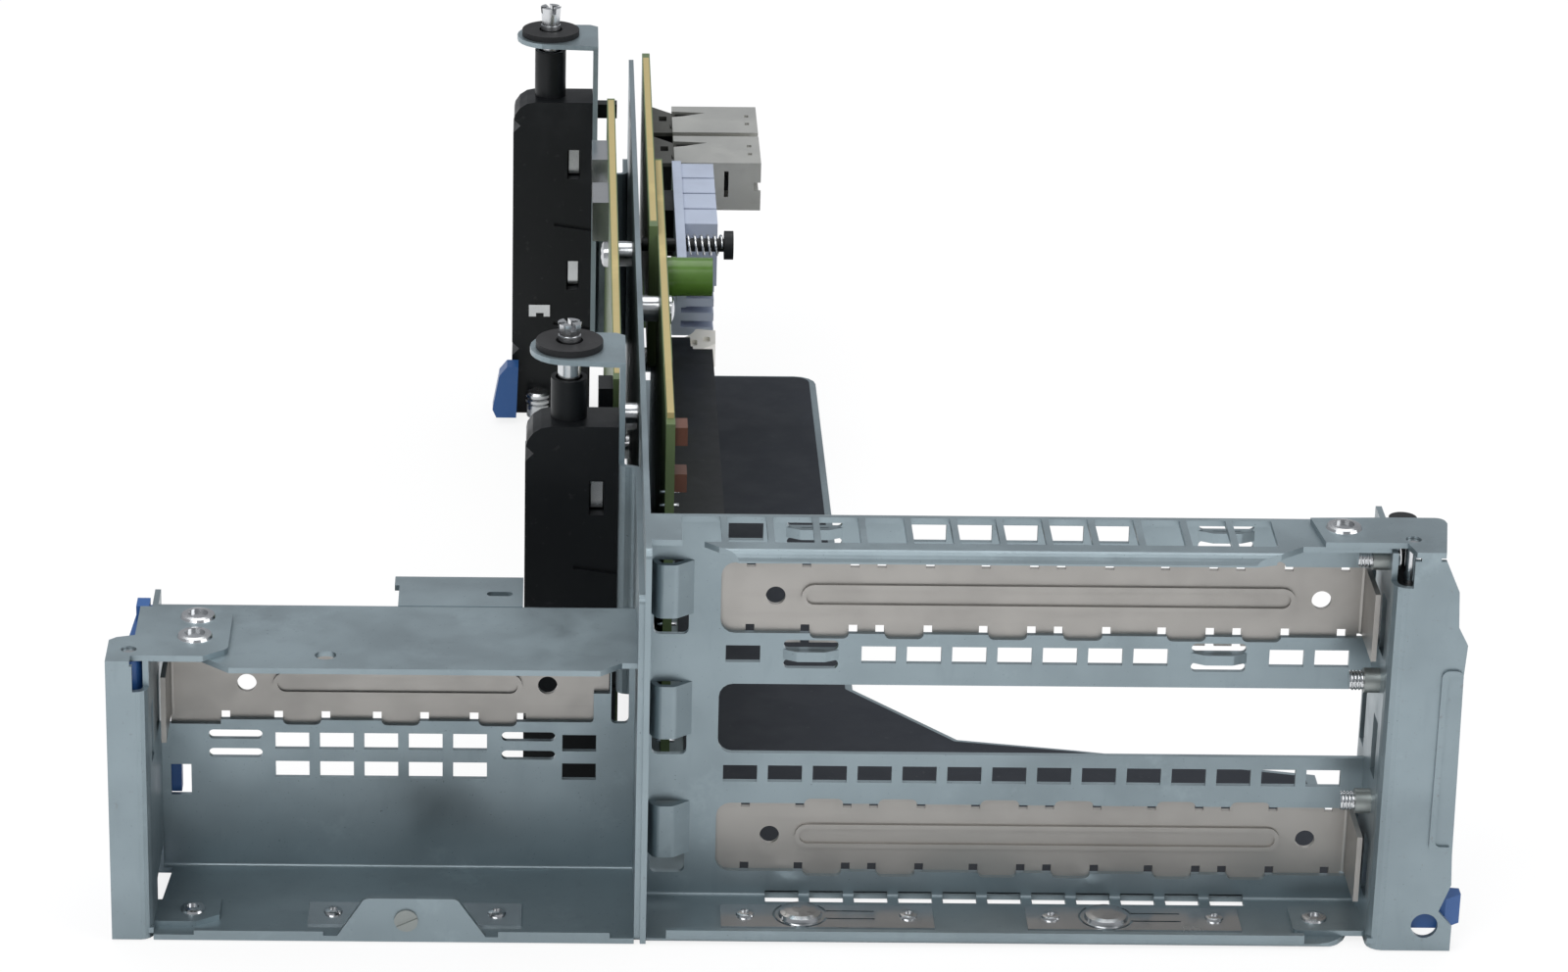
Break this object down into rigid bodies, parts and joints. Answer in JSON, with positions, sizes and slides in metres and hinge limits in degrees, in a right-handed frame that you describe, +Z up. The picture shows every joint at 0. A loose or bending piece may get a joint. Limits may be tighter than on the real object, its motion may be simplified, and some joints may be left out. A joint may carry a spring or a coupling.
{
  "type": "riser cage bracket",
  "caption": "Sheet-steel riser cage for a rack server: upright wall with riser boards, full-height card slots on one side, a low-profile slot on the other and tall captive-screw towers",
  "frame": {"origin": "at the floor's underside, at the foot of the long wall's front edge, on its left face", "axes": "+X from the wall towards the full-height slots, +Y from the slot openings to the far end, +Z up"},
  "size_m": [0.2274, 0.2645, 0.088],
  "materials": {
    "zinc_sheet": "zinc-plated steel sheet, satin with faint scuffs",
    "cover_steel": "plain stainless sheet, warm grey, fine brushing",
    "bright_steel": "bright nickel-plated steel",
    "dull_steel": "dull plated steel",
    "black_film": "matt black insulating film",
    "black_plastic": "moulded black plastic, satin",
    "dark_metal": "dark plated brace plate",
    "blue_plastic": "moulded blue plastic",
    "green_board": "green lacquered fibreglass with cream edges",
    "white_plastic": "off-white moulded plastic",
    "heat_sink_metal": "anodised aluminium, pale grey-lilac",
    "green_sleeve": "green shrink sleeve",
    "brown_ceramic": "brown ceramic with silver ends",
    "rubber_black": "black rubber"
  },
  "bodies": {
    "cage": {"main_wall": "zinc_sheet", "slot_frame": "zinc_sheet", "right_column": "zinc_sheet", "insulator_sheet": "black_film", "left_shell": "zinc_sheet", "near_ear": "zinc_sheet", "far_ear": "zinc_sheet", "left_column": "zinc_sheet", "cover_upper": "cover_steel", "cover_lower": "cover_steel", "cover_low_profile": "cover_steel", "slot_screws": "bright_steel", "slot_bushes": "dull_steel", "contact_spring_a": "bright_steel", "contact_spring_b": "bright_steel", "contact_spring_left": "bright_steel", "spring_rivets": "bright_steel", "floor_tab_rivets": "bright_steel", "corner_rivets": "bright_steel", "lock_pin": "dull_steel", "latch_pin_right": "bright_steel", "latch_pin_left": "bright_steel", "riser_board": "green_board", "rear_board": "green_board", "left_board": "green_board", "slot_connector": "black_plastic", "slot_connector_left": "black_plastic", "cable_connector_near": "dull_steel", "cable_connector_far": "dull_steel", "connector_inserts": "black_plastic", "connector_braces": "dark_metal", "heat_sink_large": "heat_sink_metal", "heat_sink_small": "heat_sink_metal", "chips": "black_plastic", "push_pin": "black_plastic", "push_pin_spring": "bright_steel", "capacitor": "green_sleeve", "brown_capacitors": "brown_ceramic", "standoffs": "bright_steel", "board_screws": "bright_steel", "near_tower": "black_plastic", "far_tower": "black_plastic", "ear_washers": "rubber_black", "lever_pin": "bright_steel", "lever_collar": "bright_steel", "leaf_clip": "bright_steel", "left_board_shields": "bright_steel", "left_board_header": "black_plastic"},
    "right_latch": {"latch_bar_right": "black_plastic"},
    "right_tab": {"latch_tab_right": "blue_plastic"},
    "left_latch": {"latch_left": "blue_plastic"},
    "clip": {"slot_clip": "white_plastic"},
    "lever": {"release_lever": "blue_plastic"},
    "near_screw": {"near_captive_screw": "bright_steel"},
    "far_screw": {"far_captive_screw": "bright_steel"}
  },
  "joints": [
    {"name": "right_latch_hinge", "type": "hinge", "parent": "cage", "child": "right_latch", "pos_m": [0.1262, 0.0056, 0.036], "axis": [0, 0, 1], "range_deg": [-35, 0]},
    {"name": "right_tab_hinge", "type": "hinge", "parent": "cage", "child": "right_tab", "pos_m": [0.1262, 0.0056, 0.006], "axis": [0, 0, 1], "range_deg": [0, 15]},
    {"name": "left_latch_hinge", "type": "hinge", "parent": "cage", "child": "left_latch", "pos_m": [-0.0854, 0.0049, 0.025], "axis": [0, 0, 1], "range_deg": [0, 35]},
    {"name": "slot_clip_hinge", "type": "hinge", "parent": "cage", "child": "clip", "pos_m": [0.009, 0.1746, 0.0384], "axis": [0, 0, 1], "range_deg": [-20, 0]},
    {"name": "release_lever_hinge", "type": "hinge", "parent": "cage", "child": "lever", "pos_m": [-0.0244, 0.2382, 0.0044], "axis": [0, -1, 0], "range_deg": [0, 25]},
    {"name": "near_screw_turn", "type": "hinge", "parent": "cage", "child": "near_screw", "pos_m": [-0.0126, 0.0674, 0.045], "axis": [0, 0, 1], "continuous": true},
    {"name": "far_screw_turn", "type": "hinge", "parent": "cage", "child": "far_screw", "pos_m": [-0.0164, 0.2474, 0.045], "axis": [0, 0, 1], "continuous": true}
  ]
}
